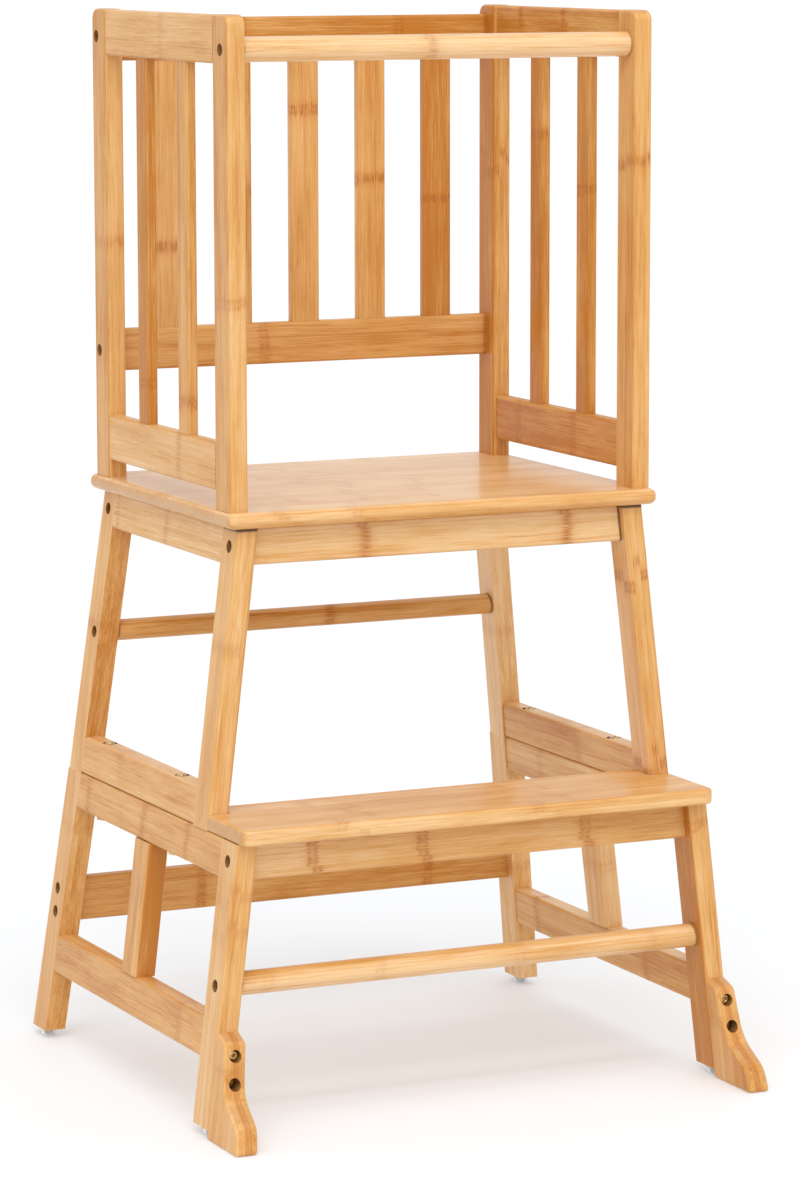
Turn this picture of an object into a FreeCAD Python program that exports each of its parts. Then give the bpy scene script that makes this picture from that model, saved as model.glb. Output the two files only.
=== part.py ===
"""Toddler kitchen helper stool: a bamboo cage on a platform, over two pairs of leaning side frames.

Millimetres, +Z up. X runs across the stool, the front faces -Y, and the origin lies on the floor
under the middle of the stool. Pieces on the +X side are modelled, and the -X side mirrors them.
"""
import FreeCAD, Part
import os
import re

import Sketcher

# Driving sizes in millimetres, angles in degrees. Heights are above the floor.
SIZES = {
    # the whole stool
    "overall_height": 900,
    "platform_height": 500,
    "seam_height": 240,
    "glide_height": 7.5,
    "lean_out": 6.8,
    # cage: posts
    "cage_width": 384.6,
    "cage_front": 107.4,
    "cage_rear": 189,
    "post_width": 16.6,
    "post_depth": 31.4,
    "post_corner_radius": 9,
    "cage_edge_radius": 3,
    # cage: side rails and side slats
    "side_rail_height": 39,
    "side_rail_thickness": 13.4,
    "side_rail_recess": 0.6,
    "side_rail_top_drop": 0.5,
    "side_rail_board_gap": 15,
    "side_slat_width": 22.6,
    "side_slat_spread": 88.3,
    "slat_thickness": 9,
    "slat_edge_radius": 2,
    # cage: back rails and back slats
    "back_rail_height": 36.1,
    "back_rail_thickness": 13.5,
    "back_rail_recess": 4,
    "back_top_rail_drop": 8.3,
    "back_top_bolt_drop": 23.3,
    "back_lower_rail_gap": 90.2,
    "back_slat_width": 26.7,
    "back_slat_pitch": 63.9,
    # cage: safety bar
    "bar_diameter": 20.6,
    "bar_drop": 28,
    "bar_setback": 14.6,
    # platform
    "board_thickness": 13.2,
    "board_side_overhang": 4.2,
    "board_front_overhang": 9.5,
    "board_rear_overhang": 9.4,
    "board_corner_radius": 8,
    "board_edge_radius": 6.3,
    "apron_height": 31.8,
    "apron_thickness": 13,
    # side frames
    "leg_top_width": 370.6,
    "leg_thickness": 18.6,
    "frame_rail_thickness": 17.4,
    "frame_rail_height": 31.8,
    "frame_edge_radius": 3,
    "upper_front_leg_depth": 29.2,
    "upper_rear_leg_depth": 30,
    "upper_lean_back": 4.1,
    "rear_stretcher_diameter": 18.4,
    "rear_stretcher_height": 363.4,
    "rear_stretcher_inset": 19,
    "base_front": 171.3,
    "base_front_leg_depth": 31.5,
    "base_rear": 208.6,
    "base_rear_leg_depth": 32.6,
    "base_lean_back": 5.7,
    "lower_rail_height": 60.9,
    "lower_rail_width": 33.6,
    "strut_front": 9.7,
    "strut_depth": 33,
    # step and base cross pieces
    "step_thickness": 13.3,
    "step_front_overhang": 13.5,
    "step_corner_radius": 8,
    "step_edge_radius": 3,
    "step_gap": 0.5,
    "base_apron_recess": 10,
    "front_stretcher_diameter": 19.9,
    "front_stretcher_height": 122.7,
    "rear_board_height": 104.2,
    "rear_board_width": 38.7,
    # anti-tip feet; reaches are measured forward of the base front legs
    "foot_top_height": 87.4,
    "foot_shoulder_reach": 16,
    "foot_shoulder_height": 82,
    "foot_shoulder_radius": 9,
    "foot_instep_reach": 24.4,
    "foot_instep_height": 40,
    "foot_instep_radius": 30,
    "foot_toe_reach": 55.9,
    "foot_toe_height": 20.8,
    "foot_toe_radius": 20,
    "foot_tip_reach": 61.5,
    "foot_tip_radius": 3,
    "foot_edge_chamfer": 1.6,
    "foot_upper_bolt_height": 71.5,
    "foot_upper_bolt_reach": 9.2,
    "foot_lower_bolt_height": 49.5,
    "foot_lower_bolt_reach": 8,
    # joinery and fasteners
    "tenon_length": 8,
    "tenon_shoulder": 3,
    "fit_gap": 0.3,
    "bolt_diameter": 6,
    "bolt_length": 30,
    "bolt_head_diameter": 8.6,
    "bolt_head_height": 5,
    "head_recess": 8.5,
    "head_clearance": 0.9,
    "insert_diameter": 9,
    "insert_length": 13,
    "insert_inset": 1,
    "rear_board_bolt_pitch": 20.5,
    "clamp_front": 25.8,
    "clamp_rear": 137.4,
    "clamp_head_diameter": 11.6,
    "clamp_head_height": 3.6,
    "clamp_nut_diameter": 11,
    "clamp_nut_length": 6,
    "clamp_recess": 3,
    "screw_diameter": 4,
    "screw_length": 36,
    "screw_head_diameter": 8,
    "screw_head_height": 3,
    "screw_spread": 200,
    "glide_diameter": 15,
}
BACK_SLATS = 5
PAST = 5  # how far a cutting outline runs past the wood
# bolts, screws, nuts and their holes repeat often, so they are prisms of few sides
HEAD_SIDES = 12
SHANK_SIDES = 6

doc = FreeCAD.newDocument("helper_stool")
sheet = doc.addObject("Spreadsheet::Sheet", "Sizes")
for row, (alias, value) in enumerate(SIZES.items(), 1):
    sheet.set(f"A{row}", alias)
    sheet.set(f"B{row}", str(value))
    sheet.setAlias(f"B{row}", alias)
doc.recompute()

X_AXIS = FreeCAD.Vector(1, 0, 0)
Y_AXIS = FreeCAD.Vector(0, 1, 0)
Z_AXIS = FreeCAD.Vector(0, 0, 1)

# ---------------------------------------------------------------------------
# Places that several pieces share, as expressions of the sizes
# ---------------------------------------------------------------------------
BOARD_BOTTOM = "(platform_height - board_thickness)"
APRON_BOTTOM = f"({BOARD_BOTTOM} - apron_height)"
RAIL_ON_SEAM = "(seam_height + frame_rail_height)"
RAIL_UNDER_SEAM = "(seam_height - frame_rail_height)"
LOWER_RAIL_TOP = "(lower_rail_height + lower_rail_width)"
STEP_TOP = "(seam_height + step_thickness)"

CAGE_SIDE = "(cage_width / 2)"
POST_INNER = f"({CAGE_SIDE} - post_width)"
POST_MIDDLE = f"({CAGE_SIDE} - post_width / 2)"
FRONT_POST_REAR = "(post_depth - cage_front)"
REAR_POST_FRONT = "(cage_rear - post_depth)"
SIDE_RAIL_MIDDLE = f"({CAGE_SIDE} - side_rail_recess - side_rail_thickness / 2)"
SIDE_TOP_RAIL_TOP = "(overall_height - side_rail_top_drop)"
SIDE_TOP_RAIL_LOW = f"({SIDE_TOP_RAIL_TOP} - side_rail_height)"
SIDE_BOTTOM_RAIL_LOW = "(platform_height + side_rail_board_gap)"
SIDE_BOTTOM_RAIL_TOP = f"({SIDE_BOTTOM_RAIL_LOW} + side_rail_height)"
BACK_RAIL_REAR = "(cage_rear - back_rail_recess)"
BACK_RAIL_FRONT = f"({BACK_RAIL_REAR} - back_rail_thickness)"
BACK_RAIL_MIDDLE = f"({BACK_RAIL_REAR} - back_rail_thickness / 2)"
BACK_TOP_RAIL_TOP = "(overall_height - back_top_rail_drop)"
BACK_TOP_RAIL_LOW = f"({BACK_TOP_RAIL_TOP} - back_rail_height)"
BACK_LOWER_RAIL_LOW = "(platform_height + back_lower_rail_gap)"
BACK_LOWER_RAIL_TOP = f"({BACK_LOWER_RAIL_LOW} + back_rail_height)"

UPPER_FRONT_LEG_REAR = "(upper_front_leg_depth - cage_front)"
UPPER_FRONT_LEG_MIDDLE = "(upper_front_leg_depth / 2 - cage_front)"
BASE_FRONT_LEG_REAR = "(base_front_leg_depth - base_front)"
BASE_FRONT_LEG_MIDDLE = "(base_front_leg_depth / 2 - base_front)"


def middle(low, high):
    return f"(({low} + {high}) / 2)"


def outer_x(height):
    """Outer face of the leaning side frames at a height."""
    return f"(leg_top_width / 2 + ({BOARD_BOTTOM} - {height}) * tan(lean_out))"


def inner_x(height):
    """Inner face of the leaning legs at a height."""
    return f"({outer_x(height)} - leg_thickness)"


def leg_middle_x(height):
    return f"({outer_x(height)} - leg_thickness / 2)"


def rail_middle_x(height):
    """Middle of the side frames' rails at a height."""
    return f"({outer_x(height)} - frame_rail_thickness / 2)"


def upper_rear_y(height):
    """Rear face of the upper rear legs, which lean back as they go down."""
    return f"(cage_rear + ({BOARD_BOTTOM} - {height}) * tan(upper_lean_back))"


def upper_rear_leg_front(height):
    return f"({upper_rear_y(height)} - upper_rear_leg_depth)"


def upper_rear_leg_middle(height):
    return f"({upper_rear_y(height)} - upper_rear_leg_depth / 2)"


def base_rear_y(height):
    """Rear face of the base rear legs, which lean back more than the upper ones."""
    return f"(base_rear + (seam_height - {height}) * tan(base_lean_back))"


def base_rear_leg_front(height):
    return f"({base_rear_y(height)} - base_rear_leg_depth)"


def base_rear_leg_middle(height):
    return f"({base_rear_y(height)} - base_rear_leg_depth / 2)"


# ---------------------------------------------------------------------------
# Modelling helpers
# ---------------------------------------------------------------------------
def prefixed(word):
    return f"Sizes.{word}" if word in SIZES else word


def bind(item, target, expression):
    """Tie a property or a sketch dimension to the sheet's sizes."""
    tied = re.sub(r"[a-z_]+", lambda found: prefixed(found.group()), str(expression))
    item.setExpression(target, tied)


def size(name):
    """A driving size as a number, for picking edges."""
    return float(sheet.get(name))


def new_body(label):
    body = doc.addObject("PartDesign::Body", label)
    body.Label = label
    return body


def rectangle(left, right, low, high):
    return [(left, low), (right, low), (right, high), (left, high)]


def place_point(sketch, geometry, point, x, y):
    """Fix a point of a sketch by its distances from the sketch's origin."""
    for kind, distance in (("DistanceX", x), ("DistanceY", y)):
        if distance is not None:
            datum = sketch.addConstraint(Sketcher.Constraint(kind, -1, 1, geometry, point, 1.0))
            bind(sketch, f"Constraints[{datum}]", distance)


def draw_outline(sketch, corners):
    """A closed outline; a side whose corners share a value is horizontal or vertical."""
    count = len(corners)
    turn = FreeCAD.Rotation(Z_AXIS, 360 / count)
    start = FreeCAD.Vector(-50, -50, 0)
    for _ in corners:
        end = turn.multVec(start)
        sketch.addGeometry(Part.LineSegment(start, end), False)
        start = end
    for side in range(count):
        sketch.addConstraint(Sketcher.Constraint("Coincident", side, 2, (side + 1) % count, 1))
    for corner, (x, y) in enumerate(corners):
        before_x, before_y = corners[corner - 1]
        side_before = (corner - 1) % count
        if x == before_x:
            sketch.addConstraint(Sketcher.Constraint("Vertical", side_before))
        if y == before_y:
            sketch.addConstraint(Sketcher.Constraint("Horizontal", side_before))
        place_point(sketch, corner, 1, None if x == before_x else x, None if y == before_y else y)


def draw_circle(sketch, x, y, diameter):
    circle = sketch.addGeometry(Part.Circle(FreeCAD.Vector(1, 1, 0), Z_AXIS, 5), False)
    datum = sketch.addConstraint(Sketcher.Constraint("Diameter", circle, 10.0))
    bind(sketch, f"Constraints[{datum}]", diameter)
    place_point(sketch, circle, 3, x, y)


# the origin plane across each axis, and the way that its normal points along the axis
PLANES = {"x": ("YZ_Plane", 1), "y": ("XZ_Plane", -1), "z": ("XY_Plane", 1)}


def extrude(body, kind, name, axis, profile, start, end):
    """Pad or pocket an outline (a list) or a circle (a tuple) between two places on an axis."""
    plane, way = PLANES[axis]
    sketch = body.newObject("Sketcher::SketchObject", f"{name}_sketch")
    support = [item for item in body.Origin.OriginFeatures if item.Role == plane]
    sketch.AttachmentSupport = (support[0], [""])
    sketch.MapMode = "FlatFace"
    if isinstance(profile, tuple):
        draw_circle(sketch, *profile)
    else:
        draw_outline(sketch, profile)
    pads_along_axis = (kind == "Pad") == (way > 0)
    bind(sketch, "AttachmentOffset.Base.z", f"{way} * ({start if pads_along_axis else end})")
    feature = body.newObject(f"PartDesign::{kind}", name)
    feature.Profile = sketch
    bind(feature, "Length", f"({end}) - ({start})")
    return feature


def pad(body, name, axis, profile, start, end):
    return extrude(body, "Pad", name, axis, profile, start, end)


def pocket(body, name, axis, profile, start, end):
    return extrude(body, "Pocket", name, axis, profile, start, end)


def place(item, point, axis, angle):
    """Tie a placement to a point and a turn about an axis."""
    item.Placement = FreeCAD.Placement(FreeCAD.Vector(0, 0, 0), FreeCAD.Rotation(axis, 10))
    for letter, position in zip("xyz", point):
        bind(item, f"Placement.Base.{letter}", position)
    bind(item, "Placement.Rotation.Angle", angle)


def prism(body, kind, name, sides, diameter, height):
    """A prism from the XY plane up, whose corners lie on a circle of the diameter."""
    feature = body.newObject(f"PartDesign::{kind}Prism", name)
    feature.Polygon = sides
    bind(feature, "Circumradius", f"({diameter}) / 2")
    bind(feature, "Height", height)
    return feature


def drill(body, name, diameter, depth, point, axis, angle, sides=SHANK_SIDES):
    """A hole from a point on, its direction turned from +Z about an axis."""
    hole = prism(body, "Subtractive", name, sides, diameter, depth)
    place(hole, point, axis, angle)


def ease_edges(body, kind, name, amount, wanted):
    """Fillet or chamfer the edges that a test picks; it gets each edge and the body's centre so far."""
    doc.recompute()
    base = body.Tip
    centre = base.Shape.BoundBox.Center
    edges = []
    for number, edge in enumerate(base.Shape.Edges, 1):
        if wanted(edge, centre):
            edges.append(f"Edge{number}")
    feature = body.newObject(f"PartDesign::{kind}", name)
    feature.Base = (base, edges)
    bind(feature, "Radius" if kind == "Fillet" else "Size", amount)


def round_edges(body, name, radius, wanted):
    ease_edges(body, "Fillet", name, radius, wanted)


def runs(edge, axis):
    """Whether an edge runs along an axis, give or take the frames' lean."""
    chord = edge.Vertexes[-1].Point - edge.Vertexes[0].Point
    return chord.Length > 0 and abs(chord.dot(axis)) > 0.95 * chord.Length


def runs_along_x(edge, centre):
    return runs(edge, X_AXIS)


def runs_along_y(edge, centre):
    return runs(edge, Y_AXIS)


def runs_along_z(edge, centre):
    return runs(edge, Z_AXIS)


# ---------------------------------------------------------------------------
# Wood-to-wood joints
# ---------------------------------------------------------------------------
TENON = "(-tenon_shoulder)"
MORTISE = "(fit_gap - tenon_shoulder)"


def leaning_section(low, high, thickness, grow="0"):
    """Section across Y, flush with a leaning side frame's outer face, grown on every side."""
    bottom = f"({low} - {grow})"
    top = f"({high} + {grow})"
    return [
        (f"{outer_x(bottom)} + {grow}", bottom),
        (f"{outer_x(top)} + {grow}", top),
        (f"{outer_x(top)} - {thickness} - {grow}", top),
        (f"{outer_x(bottom)} - {thickness} - {grow}", bottom),
    ]


def cage_rail_section(low, high, thickness, grow="0"):
    """Section across Y of the cage's upright side rails, grown on every side."""
    half = f"({thickness} / 2 + {grow})"
    return rectangle(f"{SIDE_RAIL_MIDDLE} - {half}", f"{SIDE_RAIL_MIDDLE} + {half}",
                     f"{low} - {grow}", f"{high} + {grow}")


def side_rail(label, section, low, high, thickness, front, rear_at, uprights, radius):
    """A rail along Y with a stub tenon in the upright at each end; rear_at is its rear end at a height."""
    body = new_body(label)
    pad(body, "bar", "y", section(low, high, thickness), front, rear_at(low))
    if rear_at(low) != rear_at(high):
        below = f"({low} - {PAST})"
        above = f"({high} + {PAST})"
        beyond = f"{rear_at(below)} + {PAST}"
        waste = [(rear_at(below), below), (beyond, below), (beyond, above), (rear_at(above), above)]
        pocket(body, "rear_end", "x", waste, "0", f"{outer_x(below)}")
    round_edges(body, "edges", radius, runs_along_y)
    start = f"{front} - tenon_length"
    end = f"{rear_at(middle(low, high))} + tenon_length"
    pad(body, "tenons", "y", section(low, high, thickness, TENON), start, end)
    for upright in uprights:
        pocket(upright, f"{label}_mortise", "y", section(low, high, thickness, MORTISE),
               f"{start} - fit_gap", f"{end} + fit_gap")
    return body


def slat(label, middle_x, middle_y, width_x, width_y, low, high, rails):
    """A flat upright slat whose ends stand in slots of the rails under and over it."""
    body = new_body(label)
    start = f"{low} - tenon_length"
    end = f"{high} + tenon_length"

    def section(grow):
        half_x = f"({width_x} / 2 + {grow})"
        half_y = f"({width_y} / 2 + {grow})"
        return rectangle(f"{middle_x} - {half_x}", f"{middle_x} + {half_x}",
                         f"{middle_y} - {half_y}", f"{middle_y} + {half_y}")

    pad(body, "board", "z", section("0"), start, end)
    round_edges(body, "edges", "slat_edge_radius", runs_along_z)
    for rail in rails:
        pocket(rail, f"{label}_slot", "z", section("fit_gap"), f"{start} - fit_gap", f"{end} + fit_gap")
    return body


# ---------------------------------------------------------------------------
# Fasteners: one model of each kind, placed by links and grouped by use
# ---------------------------------------------------------------------------
BORE = "(bolt_diameter + 2 * fit_gap)"
HEAD_RECESS = "(bolt_head_diameter + 2 * head_clearance)"
INSERT_HOLE = "(insert_diameter + 2 * fit_gap)"
SCREW_BORE = "(screw_diameter + 2 * fit_gap)"
CLAMP_SPAN = "(2 * frame_rail_height / cos(lean_out) - 2 * clamp_recess)"


def fastener(label, head_diameter, head_height, diameter, length):
    """A bolt or screw with its head on the XY plane and its shank below."""
    body = new_body(label)
    prism(body, "Additive", "head", HEAD_SIDES, head_diameter, head_height)
    shank = prism(body, "Additive", "shank", SHANK_SIDES, diameter, length)
    bind(shank, "Placement.Base.z", f"-({length})")
    return body


def sleeve(label, diameter, length):
    """A nut or insert that hangs below the XY plane, with a bore that clears the bolts."""
    body = new_body(label)
    for part, kind, width in (("barrel", "Additive", diameter), ("bore", "Subtractive", BORE)):
        feature = prism(body, kind, part, SHANK_SIDES, width, length)
        bind(feature, "Placement.Base.z", f"-{length}")
    return body


joint_bolt = fastener("joint_bolt_pattern", "bolt_head_diameter", "bolt_head_height",
                      "bolt_diameter", "bolt_length")
clamp_bolt = fastener("clamp_bolt_pattern", "clamp_head_diameter", "clamp_head_height",
                      "bolt_diameter", f"{CLAMP_SPAN} + clamp_nut_length")
wood_screw = fastener("wood_screw_pattern", "screw_head_diameter", "screw_head_height",
                      "screw_diameter", "screw_length")
insert_nut = sleeve("insert_nut_pattern", "insert_diameter", "insert_length")
clamp_nut = sleeve("clamp_nut_pattern", "clamp_nut_diameter", "clamp_nut_length")

groups = {}
# signs of X, as starts of expressions
BOTH_SIDES = ("", "-")
RIGHT_SIDE = ("",)


def put_pair(group, pattern, x, y, z, axis, angle):
    """Add a copy of a fastener at +X and its mirror image at -X to a group."""
    links = groups.setdefault(group, [])
    for x_side, side_angle in ((x, angle), (f"-({x})", f"-({angle})" if axis == Y_AXIS else angle)):
        link = doc.addObject("App::Link", f"{group}_{len(links) + 1}")
        link.LinkedObject = pattern
        place(link, (x_side, y, z), axis, side_angle)
        links.append(link)


def bolt_across(group, upright, cross_piece, y, z, outer, inner):
    """Bolt a cross piece between two uprights: head sunk in the upright, insert in the end grain."""
    seat = f"({outer} - head_recess)"
    insert_top = f"({inner} - insert_inset)"
    tag = f"{cross_piece.Label}_bolt"
    drill(upright, f"{tag}_recess", HEAD_RECESS, f"head_recess + {PAST}", (seat, y, z), Y_AXIS, "90",
          HEAD_SIDES)
    drill(upright, f"{tag}_bore", BORE, f"{outer} - {inner} + {PAST}", (f"{inner} - {PAST}", y, z),
          Y_AXIS, "90")
    for side, angle in zip(BOTH_SIDES, ("90", "-90")):
        drill(cross_piece, "insert_hole", INSERT_HOLE, "bolt_length",
              (f"{side}({seat} - bolt_length - fit_gap)", y, z), Y_AXIS, angle)
    put_pair(group, joint_bolt, seat, y, z, Y_AXIS, "90")
    put_pair("insert_nuts", insert_nut, insert_top, y, z, Y_AXIS, "90")


def screw_up(group, carrier, carrier_sides, board, x, y, carrier_bottom, carrier_top):
    """A pair of screws driven up through a piece into the board on it, heads sunk from below."""
    seat = f"({carrier_bottom} + screw_head_height + fit_gap)"
    for side in carrier_sides:
        drill(carrier, "screw_recess", "screw_head_diameter + 2 * fit_gap",
              f"screw_head_height + fit_gap + {PAST}", (f"{side}({x})", y, seat), Y_AXIS, "180",
              HEAD_SIDES)
        drill(carrier, "screw_bore", SCREW_BORE, f"{carrier_top} - {seat} + {PAST}",
              (f"{side}({x})", y, seat), Y_AXIS, "0")
    for side in BOTH_SIDES:
        drill(board, "screw_hole", SCREW_BORE, "screw_length + fit_gap",
              (f"{side}({x})", y, seat), Y_AXIS, "0")
    put_pair(group, wood_screw, x, y, seat, X_AXIS, "180")


# ---------------------------------------------------------------------------
# Cage: posts, side rails and slats, back rails and slats, safety bar
# ---------------------------------------------------------------------------
def cage_post(label, front, rear, rounded_side):
    """An upright with a large rounded top corner at the front (-1) or rear (1) and soft edges."""
    body = new_body(label)
    pad(body, "upright", "x", rectangle(front, rear, "platform_height", "overall_height"),
        POST_INNER, CAGE_SIDE)
    round_edges(body, "corner", "post_corner_radius",
                lambda edge, centre: runs(edge, X_AXIS) and edge.CenterOfMass.z > centre.z
                and (edge.CenterOfMass.y - centre.y) * rounded_side > 0)
    round_edges(body, "edges", "cage_edge_radius",
                lambda edge, centre: edge.BoundBox.ZMax > size("platform_height") + 1)
    return body


post_front = cage_post("post_front_right", "-cage_front", FRONT_POST_REAR, -1)
post_rear = cage_post("post_rear_right", REAR_POST_FRONT, "cage_rear", 1)


def cage_side_rail(label, low, high):
    return side_rail(label, cage_rail_section, low, high, "side_rail_thickness", FRONT_POST_REAR,
                     lambda height: REAR_POST_FRONT, (post_front, post_rear), "cage_edge_radius")


side_top_rail = cage_side_rail("side_top_rail_right", SIDE_TOP_RAIL_LOW, SIDE_TOP_RAIL_TOP)
side_bottom_rail = cage_side_rail("side_bottom_rail_right", SIDE_BOTTOM_RAIL_LOW, SIDE_BOTTOM_RAIL_TOP)


def side_slat(label, side):
    place_y = f"({middle('cage_rear', '(-cage_front)')} + {side} * side_slat_spread / 2)"
    return slat(label, SIDE_RAIL_MIDDLE, place_y, "slat_thickness", "side_slat_width",
                SIDE_BOTTOM_RAIL_TOP, SIDE_TOP_RAIL_LOW, (side_bottom_rail, side_top_rail))


side_slat_front = side_slat("side_slat_front_right", -1)
side_slat_rear = side_slat("side_slat_rear_right", 1)


def back_rail(label, low, high, bolt_height):
    body = new_body(label)
    pad(body, "bar", "x", rectangle(BACK_RAIL_FRONT, BACK_RAIL_REAR, low, high),
        f"-{POST_INNER}", POST_INNER)
    round_edges(body, "edges", "cage_edge_radius", runs_along_x)
    bolt_across("cage_bolts", post_rear, body, BACK_RAIL_MIDDLE, bolt_height, CAGE_SIDE, POST_INNER)
    return body


back_top_rail = back_rail("back_top_rail", BACK_TOP_RAIL_LOW, BACK_TOP_RAIL_TOP,
                          "(overall_height - back_top_bolt_drop)")
back_lower_rail = back_rail("back_lower_rail", BACK_LOWER_RAIL_LOW, BACK_LOWER_RAIL_TOP,
                            middle(BACK_LOWER_RAIL_LOW, BACK_LOWER_RAIL_TOP))

back_slats = []
for number in range(BACK_SLATS):
    place_x = f"({number - (BACK_SLATS - 1) / 2} * back_slat_pitch)"
    back_slats.append(slat(f"back_slat_{number + 1}", place_x, BACK_RAIL_MIDDLE, "back_slat_width",
                           "slat_thickness", BACK_LOWER_RAIL_TOP, BACK_TOP_RAIL_LOW,
                           (back_lower_rail, back_top_rail)))

safety_bar = new_body("safety_bar")
BAR_HEIGHT = "(overall_height - bar_drop)"
BAR_Y = "(bar_setback - cage_front)"
pad(safety_bar, "bar", "x", (BAR_Y, BAR_HEIGHT, "bar_diameter"), f"-{POST_INNER}", POST_INNER)
bolt_across("cage_bolts", post_front, safety_bar, BAR_Y, BAR_HEIGHT, CAGE_SIDE, POST_INNER)

# ---------------------------------------------------------------------------
# Platform board with bullnosed edges, bolted up into the posts
# ---------------------------------------------------------------------------
platform_board = new_body("platform_board")
BOARD_SIDE = f"({CAGE_SIDE} + board_side_overhang)"
pad(platform_board, "board", "z",
    rectangle(f"-{BOARD_SIDE}", BOARD_SIDE, "-(cage_front + board_front_overhang)",
              "cage_rear + board_rear_overhang"), BOARD_BOTTOM, "platform_height")
round_edges(platform_board, "corners", "board_corner_radius", runs_along_z)
round_edges(platform_board, "bullnose", "min(board_edge_radius; board_thickness * 0.485)",
            lambda edge, centre: not runs(edge, Z_AXIS))

for post, post_y in ((post_front, "(post_depth / 2 - cage_front)"),
                     (post_rear, "(cage_rear - post_depth / 2)")):
    seat = f"({BOARD_BOTTOM} + bolt_head_height + fit_gap)"
    insert_low = "(platform_height + insert_inset)"
    drill(post, "insert_hole", INSERT_HOLE, "bolt_length + fit_gap", (POST_MIDDLE, post_y, seat),
          Y_AXIS, "0")
    for side in BOTH_SIDES:
        drill(platform_board, "bolt_recess", HEAD_RECESS, f"bolt_head_height + fit_gap + {PAST}",
              (f"{side}{POST_MIDDLE}", post_y, seat), Y_AXIS, "180", HEAD_SIDES)
        drill(platform_board, "bolt_bore", BORE, "board_thickness", (f"{side}{POST_MIDDLE}", post_y, seat),
              Y_AXIS, "0")
    put_pair("post_bolts", joint_bolt, POST_MIDDLE, post_y, seat, X_AXIS, "180")
    put_pair("insert_nuts", insert_nut, POST_MIDDLE, post_y, insert_low, X_AXIS, "180")


# ---------------------------------------------------------------------------
# Leaning side frames
# ---------------------------------------------------------------------------
def leaning_leg(label, low, high, front_at, rear_at, lean_back, open_side):
    """A leg drawn as its footprint and swept up along its lean; open_side (-1, 1) gets soft edges."""
    body = new_body(label)
    leg = pad(body, "leg", "z", rectangle(inner_x(low), outer_x(low), front_at(low), rear_at(low)),
              low, high)
    leg.UseCustomVector = True
    leg.AlongSketchNormal = True
    bind(leg, "Direction.x", "-tan(lean_out)")
    bind(leg, "Direction.y", f"-tan({lean_back})")
    bind(leg, "Direction.z", "1")
    round_edges(body, "edges", "frame_edge_radius",
                lambda edge, centre: runs(edge, Z_AXIS)
                and (edge.CenterOfMass.y - centre.y) * open_side > 0)
    return body


def frame_rail(label, low, high, thickness, front, rear_at, legs):
    return side_rail(label, leaning_section, low, high, thickness, front, rear_at, legs,
                     "frame_edge_radius")


def cross_board(label, low, high, front, leg, group, bolt_heights):
    """A board between two leaning legs, its ends cut to their lean, bolted through the legs."""
    body = new_body(label)
    outline = [(f"-{inner_x(low)}", low), (inner_x(low), low), (inner_x(high), high),
               (f"-{inner_x(high)}", high)]
    pad(body, "board", "y", outline, front, f"{front} + apron_thickness")
    round_edges(body, "edges", "cage_edge_radius", runs_along_x)
    for height in bolt_heights:
        bolt_across(group, leg, body, f"({front} + apron_thickness / 2)", height,
                    outer_x(height), inner_x(height))
    return body


def round_stretcher(label, diameter, y, height, leg, group):
    """A round bar between two leaning legs, its ends cut to their lean, bolted through the legs."""
    body = new_body(label)
    low = f"({height} - {diameter} / 2)"
    below = f"({low} - {PAST})"
    above = f"({height} + {diameter} / 2 + {PAST})"
    beyond = f"({inner_x(below)} + {PAST})"
    pad(body, "bar", "x", (y, height, diameter), f"-{inner_x(low)}", inner_x(low))
    for side in BOTH_SIDES:
        waste = [(f"{side}{inner_x(below)}", below), (f"{side}{beyond}", below),
                 (f"{side}{beyond}", above), (f"{side}{inner_x(above)}", above)]
        pocket(body, "end", "y", waste, f"{y} - {diameter}", f"{y} + {diameter}")
    bolt_across(group, leg, body, y, height, outer_x(height), inner_x(height))
    return body


upper_leg_front = leaning_leg("upper_leg_front_right", "seam_height", BOARD_BOTTOM,
                              lambda height: "-cage_front", lambda height: UPPER_FRONT_LEG_REAR,
                              "0", -1)
upper_leg_rear = leaning_leg("upper_leg_rear_right", "seam_height", BOARD_BOTTOM,
                             upper_rear_leg_front, upper_rear_y, "upper_lean_back", 1)
upper_legs = (upper_leg_front, upper_leg_rear)
side_apron = frame_rail("apron_right", APRON_BOTTOM, BOARD_BOTTOM, "apron_thickness",
                        UPPER_FRONT_LEG_REAR, upper_rear_leg_front, upper_legs)
upper_side_rail = frame_rail("upper_side_rail_right", "seam_height", RAIL_ON_SEAM,
                             "frame_rail_thickness", UPPER_FRONT_LEG_REAR, upper_rear_leg_front,
                             upper_legs)

APRON_MIDDLE = middle(APRON_BOTTOM, BOARD_BOTTOM)
UPPER_APRON_FRONT = f"({UPPER_FRONT_LEG_MIDDLE} - apron_thickness / 2)"
UPPER_APRON_REAR = f"({upper_rear_leg_middle(APRON_MIDDLE)} - apron_thickness / 2)"
apron_front = cross_board("apron_front", APRON_BOTTOM, BOARD_BOTTOM, UPPER_APRON_FRONT,
                          upper_leg_front, "upper_frame_bolts", (APRON_MIDDLE,))
apron_rear = cross_board("apron_rear", APRON_BOTTOM, BOARD_BOTTOM, UPPER_APRON_REAR,
                         upper_leg_rear, "upper_frame_bolts", (APRON_MIDDLE,))
REAR_STRETCHER_Y = f"({upper_rear_y('rear_stretcher_height')} - rear_stretcher_inset)"
rear_stretcher = round_stretcher("rear_stretcher", "rear_stretcher_diameter", REAR_STRETCHER_Y,
                                 "rear_stretcher_height", upper_leg_rear, "upper_frame_bolts")
for apron, apron_y in ((apron_front, UPPER_APRON_FRONT), (apron_rear, UPPER_APRON_REAR)):
    screw_up("board_screws", apron, BOTH_SIDES, platform_board, "screw_spread / 2",
             f"({apron_y} + apron_thickness / 2)", APRON_BOTTOM, BOARD_BOTTOM)

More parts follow.
